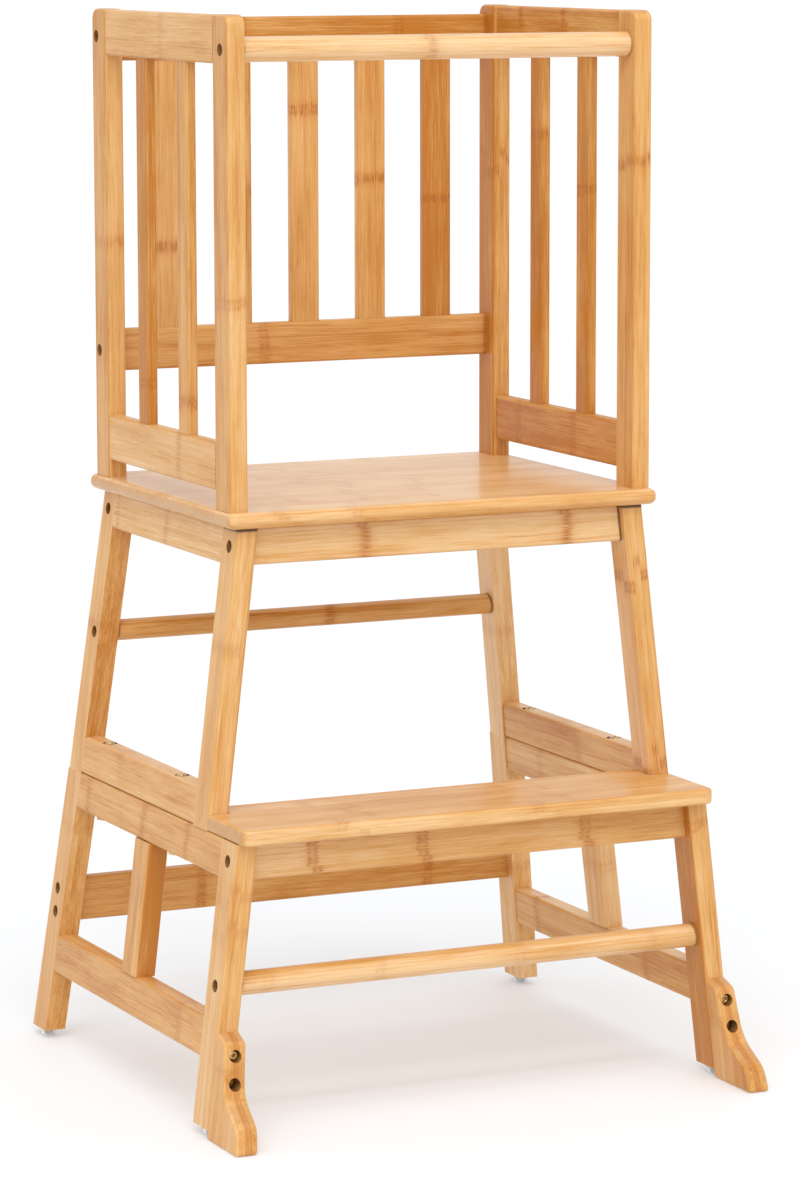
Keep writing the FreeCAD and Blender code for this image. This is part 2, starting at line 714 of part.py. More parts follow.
base_leg_front = leaning_leg("base_leg_front_right", "glide_height", "seam_height",
                             lambda height: "-base_front", lambda height: BASE_FRONT_LEG_REAR,
                             "0", -1)
base_leg_rear = leaning_leg("base_leg_rear_right", "glide_height", "seam_height",
                            base_rear_leg_front, base_rear_y, "base_lean_back", 1)
base_legs = (base_leg_front, base_leg_rear)
base_top_rail = frame_rail("base_top_rail_right", RAIL_UNDER_SEAM, "seam_height",
                           "frame_rail_thickness", BASE_FRONT_LEG_REAR, base_rear_leg_front,
                           base_legs)
base_lower_rail = frame_rail("base_lower_rail_right", "lower_rail_height", LOWER_RAIL_TOP,
                             "frame_rail_thickness", BASE_FRONT_LEG_REAR, base_rear_leg_front,
                             base_legs)

# upright strut between the base rails, tenoned into both
base_strut = new_body("base_strut_right")
STRUT_REAR = "(strut_front + strut_depth)"
pad(base_strut, "strut", "y", leaning_section(LOWER_RAIL_TOP, RAIL_UNDER_SEAM, "leg_thickness"),
    "strut_front", STRUT_REAR)
round_edges(base_strut, "edges", "frame_edge_radius", runs_along_z)
tenon_span = (f"({LOWER_RAIL_TOP} - tenon_length - tenon_shoulder)",
              f"({RAIL_UNDER_SEAM} + tenon_length + tenon_shoulder)", "frame_rail_thickness")
pad(base_strut, "tenons", "y", leaning_section(*tenon_span, TENON), f"strut_front - {TENON}",
    f"{STRUT_REAR} + {TENON}")
for rail in (base_top_rail, base_lower_rail):
    pocket(rail, "strut_mortise", "y", leaning_section(*tenon_span, MORTISE),
           f"strut_front - {MORTISE}", f"{STRUT_REAR} + {MORTISE}")

BASE_APRON_FRONT = "(base_apron_recess - base_front)"
base_front_apron = cross_board("base_front_apron", RAIL_UNDER_SEAM, "seam_height", BASE_APRON_FRONT,
                               base_leg_front, "base_bolts",
                               (middle(RAIL_UNDER_SEAM, "seam_height"),))
REAR_BOARD_MIDDLE = "(rear_board_height + rear_board_width / 2)"
base_rear_board = cross_board("base_rear_board", "rear_board_height",
                              "(rear_board_height + rear_board_width)",
                              f"({base_rear_leg_middle(REAR_BOARD_MIDDLE)} - apron_thickness / 2)",
                              base_leg_rear, "base_bolts",
                              (f"({REAR_BOARD_MIDDLE} - rear_board_bolt_pitch / 2)",
                               f"({REAR_BOARD_MIDDLE} + rear_board_bolt_pitch / 2)"))
front_stretcher = round_stretcher("front_stretcher", "front_stretcher_diameter",
                                  BASE_FRONT_LEG_MIDDLE, "front_stretcher_height",
                                  base_leg_front, "base_bolts")

# ---------------------------------------------------------------------------
# Step board, notched round the upper front legs
# ---------------------------------------------------------------------------
step_board = new_body("step_board")
STEP_SIDE = outer_x("seam_height")
STEP_FRONT = "-(base_front + step_front_overhang)"
NOTCH_SIDE = f"({inner_x(STEP_TOP)} - step_gap)"
NOTCH_FRONT = "-(cage_front + step_gap)"
pad(step_board, "board", "z",
    [(f"-{STEP_SIDE}", STEP_FRONT), (STEP_SIDE, STEP_FRONT), (STEP_SIDE, NOTCH_FRONT),
     (NOTCH_SIDE, NOTCH_FRONT), (NOTCH_SIDE, UPPER_FRONT_LEG_REAR),
     (f"-{NOTCH_SIDE}", UPPER_FRONT_LEG_REAR), (f"-{NOTCH_SIDE}", NOTCH_FRONT),
     (f"-{STEP_SIDE}", NOTCH_FRONT)], "seam_height", STEP_TOP)
round_edges(step_board, "corners", "step_corner_radius",
            lambda edge, centre: runs(edge, Z_AXIS) and edge.CenterOfMass.y < -size("base_front"))
notch_start = -size("cage_front") - 2 * size("step_gap")
round_edges(step_board, "edges", "step_edge_radius",
            lambda edge, centre: not runs(edge, Z_AXIS) and edge.CenterOfMass.y < notch_start)
screw_up("step_screws", base_front_apron, BOTH_SIDES, step_board, "screw_spread / 2",
         f"({BASE_APRON_FRONT} + apron_thickness / 2)", RAIL_UNDER_SEAM, "seam_height")
screw_up("step_screws", base_top_rail, RIGHT_SIDE, step_board,
         rail_middle_x(middle(RAIL_UNDER_SEAM, "seam_height")),
         middle(BASE_FRONT_LEG_REAR, "(-cage_front)"), RAIL_UNDER_SEAM, "seam_height")

# ---------------------------------------------------------------------------
# Anti-tip feet: a leaning slab cut to the foot's profile, bolted to the base front legs
# ---------------------------------------------------------------------------
foot = new_body("anti_tip_foot_right")
FOOT_TIP = "-(base_front + foot_tip_reach)"


def foot_corner(name):
    return f"-(base_front + foot_{name}_reach)", f"foot_{name}_height"


pad(foot, "slab", "y", leaning_section("0", "foot_top_height", "leg_thickness"), FOOT_TIP,
    "-base_front")
foot_beyond = f"{FOOT_TIP} - {PAST}"
foot_above = f"foot_top_height + {PAST}"
pocket(foot, "profile", "x",
       [("-base_front", "foot_top_height"), foot_corner("shoulder"), foot_corner("instep"),
        foot_corner("toe"), (FOOT_TIP, "0"), (foot_beyond, "0"), (foot_beyond, foot_above),
        ("-base_front", foot_above)], "0", f"{outer_x('0')} + {PAST}")
for corner in ("shoulder", "instep", "toe"):
    round_edges(foot, corner, f"foot_{corner}_radius",
                lambda edge, centre: runs(edge, X_AXIS)
                and abs(edge.CenterOfMass.z - size(f"foot_{corner}_height")) < 0.01)
round_edges(foot, "tip", "foot_tip_radius",
            lambda edge, centre: runs(edge, X_AXIS) and edge.CenterOfMass.z < 0.01
            and edge.CenterOfMass.y < centre.y)
ease_edges(foot, "Chamfer", "edges", "foot_edge_chamfer",
           lambda edge, centre: not runs(edge, X_AXIS) and edge.BoundBox.ZMax > 0.01
           and edge.BoundBox.YMin < -size("base_front") - 0.01)
for bolt in ("upper", "lower"):
    height = f"foot_{bolt}_bolt_height"
    reach = f"foot_{bolt}_bolt_reach"
    bolt_x = leg_middle_x(height)
    bolt_seat = f"-(base_front + {reach})"
    insert_front = "(insert_inset - base_front)"
    drill(foot, f"{bolt}_recess", HEAD_RECESS, "foot_tip_reach", (bolt_x, bolt_seat, height), X_AXIS,
          "90", HEAD_SIDES)
    drill(foot, f"{bolt}_bore", BORE, f"{reach} + {PAST}", (bolt_x, bolt_seat, height), X_AXIS, "-90")
    drill(base_leg_front, f"foot_{bolt}_insert_hole", INSERT_HOLE, "bolt_length + fit_gap",
          (bolt_x, bolt_seat, height), X_AXIS, "-90")
    put_pair("foot_bolts", joint_bolt, bolt_x, bolt_seat, height, X_AXIS, "90")
    put_pair("insert_nuts", insert_nut, bolt_x, insert_front, height, X_AXIS, "90")

# ---------------------------------------------------------------------------
# Bolts that clamp the upper side frames down on the base side frames, along the lean
# ---------------------------------------------------------------------------
clamp_top = f"({RAIL_ON_SEAM} - clamp_recess * cos(lean_out))"
clamp_foot = f"({RAIL_UNDER_SEAM} + clamp_recess * cos(lean_out))"
bore_start = f"({RAIL_UNDER_SEAM} - {PAST})"
for clamp_y in ("-clamp_front", "clamp_rear"):
    for rail in (upper_side_rail, base_top_rail):
        drill(rail, "clamp_bore", BORE, f"2 * (frame_rail_height + {PAST}) / cos(lean_out)",
              (rail_middle_x(bore_start), clamp_y, bore_start), Y_AXIS, "-lean_out")
    drill(upper_side_rail, "clamp_head_recess", "clamp_head_diameter + 2 * fit_gap",
          f"clamp_recess + {PAST}", (rail_middle_x(clamp_top), clamp_y, clamp_top), Y_AXIS,
          "-lean_out", HEAD_SIDES)
    drill(base_top_rail, "clamp_nut_recess", "clamp_nut_diameter + 2 * fit_gap",
          f"clamp_recess + {PAST}", (rail_middle_x(clamp_foot), clamp_y, clamp_foot),
          Y_AXIS, "180 - lean_out")
    put_pair("frame_bolts", clamp_bolt, rail_middle_x(clamp_top), clamp_y, clamp_top,
             Y_AXIS, "-lean_out")
    put_pair("frame_nuts", clamp_nut, rail_middle_x(clamp_foot), clamp_y, clamp_foot,
             Y_AXIS, "-lean_out")

# ---------------------------------------------------------------------------
# Glides under the four legs
# ---------------------------------------------------------------------------
glide = new_body("floor_glide_pattern")
pad(glide, "disc", "z", ("0", "0", "glide_diameter"), "0", "glide_height")
for glide_y in (BASE_FRONT_LEG_MIDDLE, base_rear_leg_middle("glide_height")):
    put_pair("floor_glides", glide, leg_middle_x("glide_height"), glide_y, "0", Z_AXIS, "0")

# ---------------------------------------------------------------------------
# The finished pieces: middle ones, right ones with their mirrored left ones, fastener groups
# ---------------------------------------------------------------------------
pieces = [back_top_rail, back_lower_rail, *back_slats, safety_bar, platform_board, apron_front,
          apron_rear, rear_stretcher, step_board, base_front_apron, base_rear_board,
          front_stretcher]

for right_piece in (post_front, post_rear, side_top_rail, side_bottom_rail, side_slat_front,
                    side_slat_rear, side_apron, upper_leg_front, upper_leg_rear, upper_side_rail,
                    base_leg_front, base_leg_rear, base_top_rail, base_lower_rail, base_strut, foot):
    left_piece = doc.addObject("Part::Mirroring", right_piece.Label.replace("_right", "_left"))
    left_piece.Label = left_piece.Name
    left_piece.Source = right_piece
    left_piece.Normal = X_AXIS
    pieces += [right_piece, left_piece]

for group, links in groups.items():
    compound = doc.addObject("Part::Compound", group)
    compound.Label = group
    compound.Links = links
    pieces.append(compound)

doc.recompute()
for item in doc.Objects:
    if "Invalid" in item.State or "Error" in item.State:
        raise RuntimeError(f"{item.Label} failed to build")
    if item.TypeId == "PartDesign::Pocket" or "PartDesign::Subtractive" in item.TypeId:
        if item.Shape.Volume >= item.BaseFeature.Shape.Volume:
            raise RuntimeError(f"{item.Label} cuts nothing")

os.makedirs("parts", exist_ok=True)
for piece in pieces:
    if piece.Shape.isNull() or not piece.Shape.isValid():
        raise RuntimeError(f"{piece.Label} has no valid shape")
    piece.Shape.exportStep(f"parts/{piece.Label}.step")
print(len(pieces), "pieces written")
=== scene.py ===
import math

import bpy
import numpy as np
from mathutils import Euler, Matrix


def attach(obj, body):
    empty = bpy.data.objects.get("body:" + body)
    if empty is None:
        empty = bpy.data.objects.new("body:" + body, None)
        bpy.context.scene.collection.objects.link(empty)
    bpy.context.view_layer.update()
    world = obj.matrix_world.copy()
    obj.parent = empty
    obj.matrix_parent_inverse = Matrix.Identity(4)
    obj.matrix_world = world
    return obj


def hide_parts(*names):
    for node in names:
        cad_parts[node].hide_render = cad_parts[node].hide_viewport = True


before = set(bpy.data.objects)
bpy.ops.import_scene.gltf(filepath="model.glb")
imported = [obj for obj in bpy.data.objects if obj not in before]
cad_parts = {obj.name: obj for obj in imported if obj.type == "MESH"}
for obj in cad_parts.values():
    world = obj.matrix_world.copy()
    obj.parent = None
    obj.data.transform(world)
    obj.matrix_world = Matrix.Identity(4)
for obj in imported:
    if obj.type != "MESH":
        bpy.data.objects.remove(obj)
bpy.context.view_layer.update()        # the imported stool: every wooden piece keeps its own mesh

MM = 0.001

# ---------------------------------------------------------------------------
# Sizes that the fastenings and the grain share with the wood, in millimetres
# ---------------------------------------------------------------------------
LEAN = math.radians(6.8)              # how far both side frames lean out
BASE_LEAN_BACK = math.radians(5.7)    # of the base rear legs
UPPER_LEAN_BACK = math.radians(4.1)   # of the upper rear legs
BOARD_BOTTOM = 486.8                  # height of the platform board's underside
SEAM = 240.0                          # height where the upper frames stand on the base
LEG = 18.6                            # thickness of a leg, from side to side
LEG_TOP_SIDE = 185.3                  # from the middle to a leg's outer face, under the board
UPPER_LEG_REAR = 189.0                # rear face of the upper rear legs, under the board
BASE_LEG_REAR = 208.6                 # rear face of the base rear legs, at the seam
BASE_FRONT = 171.3                    # from the middle to the base legs' front faces
FRAME_RAIL = 31.8                     # height of an apron and of each rail at the seam
RAIL_MIDDLE = 8.7                     # depth of those rails' middle under their outer face
CAGE_SIDE = 192.3                     # from the middle to the posts' outer faces
POST_INNER = 17.2                     # depth of the lines where cross pieces meet the posts

HEAD_DEPTH = 8.5                      # depth of a joint bolt's seat under the outer face
HEAD_BORE = 5.2                       # radius of the hole round its head
CLAMP_DEPTH = 3.0                     # depth of a clamp bolt's seat
CLAMP_BORE = 6.4                      # radius of the shade round its head


def outer_x(height):
    """Outer face of the leaning side frames at a height."""
    return LEG_TOP_SIDE + (BOARD_BOTTOM - height) * math.tan(LEAN)


def upper_rear_y(height):
    """Rear face of the upper rear legs at a height."""
    return UPPER_LEG_REAR + (BOARD_BOTTOM - height) * math.tan(UPPER_LEAN_BACK)


def base_rear_y(height):
    """Rear face of the base rear legs at a height."""
    return BASE_LEG_REAR + (SEAM - height) * math.tan(BASE_LEAN_BACK)


# ---------------------------------------------------------------------------
# Places of the bolts on the right side: the head's seat and the way it points
# ---------------------------------------------------------------------------
X = (1.0, 0.0, 0.0)
Y = (0.0, 1.0, 0.0)
Z = (0.0, 0.0, 1.0)
LEFTWARD = (-1.0, 0.0, 0.0)
FORWARD = (0.0, -1.0, 0.0)
SIDES = (("left", -1), ("right", 1))

FRONT_POST_Y = -92.8                  # middle of the front posts and of the legs under them
BACK_RAIL_Y = 178.25                  # middle of the back rails
BAR_HEIGHT = 872.0
BACK_BOLT_HEIGHTS = (876.7, 608.25)
APRON_HEIGHT = BOARD_BOTTOM - FRAME_RAIL / 2
UPPER_REAR_LEG_HALF = 15.0
REAR_STRETCHER_HEIGHT = 363.4
REAR_STRETCHER_INSET = 19.0           # from the legs' rear face to the stretcher's middle
BASE_LEG_Y = -155.55                  # middle of the base front legs
FRONT_STRETCHER_HEIGHT = 122.7
BASE_APRON_Y = -154.8
BASE_APRON_HEIGHT = 224.1
BASE_REAR_LEG_HALF = 16.3
REAR_BOARD_HEIGHT = 123.55
REAR_BOARD_Y = base_rear_y(REAR_BOARD_HEIGHT) - BASE_REAR_LEG_HALF
REAR_BOARD_BOLT_HEIGHTS = (113.3, 133.8)
FOOT_BOLTS = ((71.5, 9.2), (49.5, 8.0))   # height, and reach of the seat before the leg
CLAMP_Y = (-25.8, 137.4)
CLAMP_SEAT = SEAM + FRAME_RAIL - CLAMP_DEPTH * math.cos(LEAN)


def lean(side, back=0.0):
    """Direction up a leg that leans out to a side (1 or -1) and back by an angle."""
    direction = np.array((-side * math.tan(LEAN), -math.tan(back), 1.0))
    return tuple(direction / np.linalg.norm(direction))


def mirrored(places):
    """The left side's places for the right side's."""
    return [((-point[0], *point[1:]), (-way[0], *way[1:])) for point, way in places]


def through_post(y, height):
    """A bolt across a post, its head sunk under the outer face."""
    return ((CAGE_SIDE - HEAD_DEPTH, y, height), X)


def through_leg(y, height):
    """A bolt across a leaning leg, its head sunk under the outer face."""
    return ((outer_x(height) - HEAD_DEPTH, y, height), X)


# by the piece that holds their heads
BOLTS = {
    "post_front": [through_post(FRONT_POST_Y, BAR_HEIGHT)],
    "post_rear": [through_post(BACK_RAIL_Y, height) for height in BACK_BOLT_HEIGHTS],
    "upper_leg_front": [through_leg(FRONT_POST_Y, APRON_HEIGHT)],
    "upper_leg_rear": [
        through_leg(upper_rear_y(APRON_HEIGHT) - UPPER_REAR_LEG_HALF, APRON_HEIGHT),
        through_leg(upper_rear_y(REAR_STRETCHER_HEIGHT) - REAR_STRETCHER_INSET, REAR_STRETCHER_HEIGHT)],
    "base_leg_front": [through_leg(BASE_APRON_Y, BASE_APRON_HEIGHT),
                       through_leg(BASE_LEG_Y, FRONT_STRETCHER_HEIGHT)],
    "base_leg_rear": [through_leg(REAR_BOARD_Y, height) for height in REAR_BOARD_BOLT_HEIGHTS],
    "anti_tip_foot": [((outer_x(height) - LEG / 2, -BASE_FRONT - reach, height), FORWARD)
                      for height, reach in FOOT_BOLTS],
    "upper_side_rail": [((outer_x(CLAMP_SEAT) - RAIL_MIDDLE, y, CLAMP_SEAT), lean(1)) for y in CLAMP_Y]}


# ---------------------------------------------------------------------------
# Materials: sums and products of values become Math nodes
# ---------------------------------------------------------------------------
class Value:
    """A socket that carries a number; arithmetic on it adds Math nodes to its finish."""

    def __init__(self, finish, socket):
        self.finish = finish
        self.socket = socket

    def math(self, operation, *others):
        return self.finish.value("Math", {"operation": operation}, (self, *others))

    def __add__(self, other):
        return self.math("ADD", other)

    def __radd__(self, other):
        return self.math("ADD", other)

    def __sub__(self, other):
        return self.math("SUBTRACT", other)

    def __rsub__(self, other):
        return self.finish.value("Math", {"operation": "SUBTRACT"}, (other, self))

    def __mul__(self, other):
        return self.math("MULTIPLY", other)

    def __rmul__(self, other):
        return self.math("MULTIPLY", other)

    def __truediv__(self, other):
        return self.math("DIVIDE", other)

    def centred(self):
        """The value less 0.5, so that noise goes evenly up and down."""
        return self - 0.5

    def size(self):
        return self.math("ABSOLUTE")

    def floor(self):
        return self.math("FLOOR")

    def at_least(self, other):
        return self.math("MAXIMUM", other)

    def to_joint(self, width):
        """Distance to the nearest joint between strips of a width."""
        return self.math("PINGPONG", width / 2)

    def step(self, low, high):
        """0 below low and 1 above high, smooth between; low may be the larger."""
        settings = {"interpolation_type": "SMOOTHSTEP", "clamp": True}
        first, last, start, end = (low, high, 0.0, 1.0) if low < high else (high, low, 1.0, 0.0)
        return self.finish.value("MapRange", settings, (self, first, last, start, end))


class Finish:
    """A material being made. Each piece's finish holds its own nodes."""

    def __init__(self, name):
        self.material = bpy.data.materials.new(name)
        self.material.use_nodes = True
        self.tree = self.material.node_tree
        self.shader = self.tree.nodes["Principled BSDF"]

    def node(self, kind, settings, inputs):
        """Add a node: its settings first, then values or links for its sockets, by place or name."""
        node = self.tree.nodes.new("ShaderNode" + kind)
        for name, value in settings.items():
            setattr(node, name, value)
        pairs = inputs.items() if isinstance(inputs, dict) else enumerate(inputs)
        for key, value in pairs:
            self.plug(node.inputs[key], value)
        return node

    def plug(self, socket, value):
        """Link a value to a socket, or set the socket to a constant."""
        if isinstance(value, Value):
            self.tree.links.new(value.socket, socket)
        else:
            socket.default_value = value

    def value(self, kind, settings, inputs, output=0):
        return Value(self, self.node(kind, settings, inputs).outputs[output])

    def place(self, output="Object"):
        """Where a point lies on the stool, in metres, or with "Normal" the way its face looks."""
        return self.value("TexCoord", {}, (), output)

    def toward(self, way, direction):
        """Dot product: the share of a way, such as a face's, that points in a direction."""
        return self.value("VectorMath", {"operation": "DOT_PRODUCT"}, (way, tuple(direction)), "Value")

    def along(self, place, direction):
        """Distance of a place along a direction, in millimetres."""
        return self.toward(place, (component / MM for component in direction))

    def to_axis(self, place, point, direction):
        """Distance in millimetres of a place from a line: the length of the cross product of its
        offset from a point on the line and the line's direction.
        """
        start = tuple(part * MM for part in point)
        offset = self.value("VectorMath", {"operation": "SUBTRACT"}, (place, start))
        turned_off = self.value("VectorMath", {"operation": "CROSS_PRODUCT"}, (offset, tuple(direction)))
        return self.value("VectorMath", {"operation": "LENGTH"}, (turned_off,), "Value") / MM

    def join(self, x, y, z):
        return self.value("CombineXYZ", {}, (x, y, z))

    def noise(self, place, detail=2.0, roughness=0.5):
        settings = {"noise_dimensions": "3D"}
        inputs = {"Vector": place, "Scale": 1.0, "Detail": detail, "Roughness": roughness}
        return self.value("TexNoise", settings, inputs, "Fac")

    def chance(self, place):
        """A random number from 0 to 1 that is the same all over a cell."""
        return self.value("TexWhiteNoise", {"noise_dimensions": "3D"}, {"Vector": place}, "Value")

    def blend(self, share, first, second):
        """The first colour with a share of the second laid over it."""
        settings = {"data_type": "RGBA", "blend_type": "MIX", "clamp_factor": True}
        return self.value("Mix", settings, {0: share, 6: first, 7: second}, 2)

    def surface(self, tint, roughness, height=None, distance=0.0):
        """What changes over the surface: colour, roughness, and a bump of a distance in metres."""
        self.plug(self.shader.inputs["Base Color"], tint)
        self.plug(self.shader.inputs["Roughness"], roughness)
        if height is not None:
            inputs = {"Height": height, "Distance": distance, "Strength": 1.0}
            self.plug(self.shader.inputs["Normal"], self.value("Bump", {}, inputs, "Normal"))

    def constants(self, **values):
        """Values that are the same all over, set on the shader's own sockets."""
        for name, value in values.items():
            self.shader.inputs[name.replace("_", " ")].default_value = value


def colour(red, green, blue):
    """A colour as seen on a screen, 0 to 255, as the linear colour that a shader takes."""
    levels = []
    for level in (red, green, blue):
        part = level / 255
        levels.append(part / 12.92 if part <= 0.04045 else ((part + 0.055) / 1.055) ** 2.4)
    return (*levels, 1.0)


PALE = colour(232, 192, 141)
HONEY = colour(216, 162, 94)
AMBER = colour(184, 115, 36)
ORANGE = colour(196, 119, 34)
NODE_TAN = colour(184, 108, 32)
NODE_BROWN = colour(152, 80, 16)
# painted shade: the dark brown of lines where pieces meet and of the bolt holes' insides
SHADE_BROWN = colour(72, 36, 14)
END_GRAIN = colour(196, 150, 100)

PALE_TO_HONEY = (-0.1, 0.65)   # tones over which one colour turns into the next
HONEY_TO_AMBER = (0.5, 1.3)

PLY = 6.0                   # thickness of a lamella, in mm
TONE_CHANGE = 6.0           # mm to each side of a node over which a strip's tone changes
HALO = (15.0, 4.0)          # mm from a node where its warm halo starts and is full
BAND = (6.0, 4.0)           # the same for its brown band
RUNG = (2.2, 0.8)           # and for each of its thin dark lines
RUNG_PLACE = 3.4            # farthest that such a line lies from the node's middle
RAGGED = 11.0               # range over which fibres carry the marks along the grain
WANDER = 6.0                # range over which fibres wander across it


def bamboo(name, grain, seed, shade_and_ply_lines, bores, marks=(), tone=0.0, spread=4.0, strength=1.0, faces=(),
           gloss=0.24):
    """Laminated bamboo: strips of their own tone, fibre streaks, and node marks across each strip.

    grain is the grain's direction, the strips' direction and a strip's width. marks are places
    along the grain where node bands lie, each strip's up to half of spread away, and strength is
    how dark they are. The dark lines are (direction, place, half width, share, colour): painted
    shade where pieces meet, under the board and on the leg tops, and the foot's dark middle ply.
    faces are (direction, tone) added to sides turned that way: painted shade where the tone is
    above 0, painted light and sheen where it is below. bores are bolt holes as ((point,
    direction), radius, darkness), their insides darkened with painted shade, and gloss is the
    weight of the lacquer.
    """
    finish = Finish(name)
    along, across, strip = grain
    place = finish.place()
    facing = finish.place("Normal")
    u = finish.along(place, along)
    v = finish.along(place, across)
    w = finish.along(place, np.cross(along, across))

    def figure(side, length, width, shift=1.0, detail=2.0, roughness=0.5):
        """Noise drawn out along the grain: length and width are its steps in a millimetre."""
        stretched = finish.join(u * length, side * width, w * width + seed * shift)
        return finish.noise(stretched, detail, roughness)

    wander = figure(v, length=0.005, width=0.03, detail=1.0)
    v_wavy = v + wander.centred() * WANDER
    cloud = figure(v, length=0.012, width=0.03, shift=4.0)
    broad = figure(v_wavy, length=0.006, width=0.14, shift=2.0)
    streak = figure(v_wavy, length=0.016, width=0.6, shift=5.0, detail=3.0, roughness=0.6)
    fibre = figure(v_wavy, length=0.055, width=2.4, shift=9.0, roughness=0.6)
    vein = figure(v_wavy, length=0.005, width=0.4, shift=6.0, roughness=0.6)

    # each strip of each lamella has its own tone, and its own place for the nodes
    v_strip = v + seed * 7.3
    w_ply = w + seed * 3.1
    column = (v_strip / strip).floor()
    layer = (w_ply / PLY).floor()
    strip_tone = finish.chance(finish.join(column, layer, seed * 1.7))
    node_place = finish.chance(finish.join(column, layer, seed * 1.7 + 40.0))
    sway = node_place.centred()

    level = 0.5 + tone
    for pattern, contrast in ((strip_tone, 0.2), (broad, 0.7), (cloud, 0.75), (streak, 1.05), (fibre, 1.05)):
        level = level + pattern.centred() * contrast
    for position in marks:
        past_node = (u - position).step(-TONE_CHANGE, TONE_CHANGE)
        level = level + past_node.centred() * sway * 0.3
    # painted light and shade: a tone added to faces turned some way, darker for painted shade on inner and
    # side faces, lighter for painted sheen on tops
    for direction, light_and_shade_tone in faces:
        level = level + finish.toward(facing, direction).step(0.6, 0.85) * light_and_shade_tone
    wood = finish.blend(level.step(*PALE_TO_HONEY), PALE, HONEY)
    wood = finish.blend(level.step(*HONEY_TO_AMBER), wood, AMBER)

    warm = broad.step(0.52, 0.72) * streak.step(0.45, 0.7)
    wood = finish.blend(warm * 0.45, wood, ORANGE)
    wood = finish.blend(vein.step(0.6, 0.72) * fibre.step(0.35, 0.6) * 0.42, wood, NODE_TAN)
    joint = v_strip.to_joint(strip).step(0.5, 0.1).at_least(w_ply.to_joint(PLY).step(0.4, 0.1))
    wood = finish.blend(joint * (0.08 + broad * 0.25), wood, NODE_TAN)

    # node marks: a halo, a band and rungs, broken into strokes by the fibres
    ragged = figure(v_wavy, length=0.01, width=1.2, detail=1.0).centred()
    stroke = figure(v_wavy, length=0.05, width=1.5).step(0.4, 0.6)
    for position in marks:
        away = (u - position + sway * spread + ragged * RAGGED).size()
        rungs = (away - node_place * RUNG_PLACE).size().step(*RUNG)
        for mark, tint in ((away.step(*HALO) * (0.16 + stroke * 0.12), ORANGE),
                           (away.step(*BAND) * (0.18 + stroke * 0.3), NODE_TAN),
                           (rungs * stroke * 0.55, NODE_BROWN)):
            wood = finish.blend(mark * strength, wood, tint)

    pores = figure(v, length=0.2, width=1.1, detail=3.0, roughness=0.7).step(0.5, 0.62)
    end = finish.toward(facing, along).size().step(0.7, 0.92)
    wood = finish.blend(end * 0.7, wood, finish.blend(pores * 0.55, END_GRAIN, NODE_TAN))

    # painted shade where pieces meet, under the board and on the leg tops, drawn as dark lines; the same
    # loop draws the foot's dark middle ply, which is its own colour
    for direction, position, half_width, share, dark in shade_and_ply_lines:
        near = (finish.along(place, direction) - position).size().step(half_width, half_width * 0.4)
        wood = finish.blend(near * share, wood, dark)
    # painted shade inside the bolt holes: the wood round each bolt's axis darkened
    for (point, direction), radius, share in bores:
        bore_shade = finish.to_axis(place, point, direction).step(radius + 0.2, radius - 0.1)
        wood = finish.blend(bore_shade * share, wood, SHADE_BROWN)
    finish.surface(wood, 0.42 + streak.centred() * 0.16, streak * 0.6 + fibre * 0.4, 0.00005)
    finish.constants(Specular_IOR_Level=0.25, Coat_Weight=gloss, Coat_Roughness=0.17)
    return finish.material


def metal(name, tint, dark, roughness, seed):
    """Plated metal: fine scratches and blotches in a thin oxide tint."""
    finish = Finish(name)
    place = finish.place()
    x, y, z = (finish.along(place, axis) for axis in (X, Y, Z))
    blotch = finish.noise(finish.join(x * 0.5, y * 0.5, z * 0.5 + seed), detail=3.0)
    scratch = finish.noise(finish.join(x * 1.2, y * 5.0, z * 5.0 + seed), detail=3.0)
    tarnished = finish.blend(blotch.step(0.35, 0.7), tint, dark)
    finish.surface(tarnished, roughness + scratch.centred() * 0.25, scratch, 0.00002)
    finish.constants(Metallic=1.0)
    return finish.material


def clear_plastic(name):
    """Glossy clear plastic with a faint cloudiness."""
    finish = Finish(name)
    place = finish.place()
    x, y, z = (finish.along(place, axis) for axis in (X, Y, Z))
    cloud = finish.noise(finish.join(x * 0.25, y * 0.25, z * 0.25))
    haze = finish.blend(cloud.step(0.3, 0.7), colour(226, 230, 233), colour(188, 194, 199))
    finish.surface(haze, 0.12 + cloud * 0.12)
    finish.constants(Transmission_Weight=0.55, IOR=1.49)
    return finish.material


def dress(node, material):
    """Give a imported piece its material."""
    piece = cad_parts[node]
    piece.data.materials.clear()
    piece.data.materials.append(material)


# ---------------------------------------------------------------------------
# Bamboo for every wooden piece
# ---------------------------------------------------------------------------
def side_grain(side):
    """Grain, strips' direction and strip width of each piece of a side."""
    leg = lean(side)
    return {
        "post_front": (Z, Y, 16.0), "post_rear": (Z, Y, 17.0),
        "side_top_rail": (Y, Z, 20.0), "side_bottom_rail": (Y, Z, 20.0),
        "side_slat_front": (Z, Y, 24.0), "side_slat_rear": (Z, Y, 24.0),
        "apron": (Y, Z, 16.0), "upper_side_rail": (Y, leg, 16.0), "base_top_rail": (Y, leg, 16.0),
        "base_lower_rail": (Y, leg, 17.0), "upper_leg_front": (leg, Y, 15.0),
        "upper_leg_rear": (lean(side, UPPER_LEAN_BACK), Y, 15.0), "base_leg_front": (leg, Y, 16.0),
        "base_leg_rear": (lean(side, BASE_LEAN_BACK), Y, 16.0), "base_strut": (leg, Y, 17.0),
        "anti_tip_foot": (leg, Y, 60.0)}


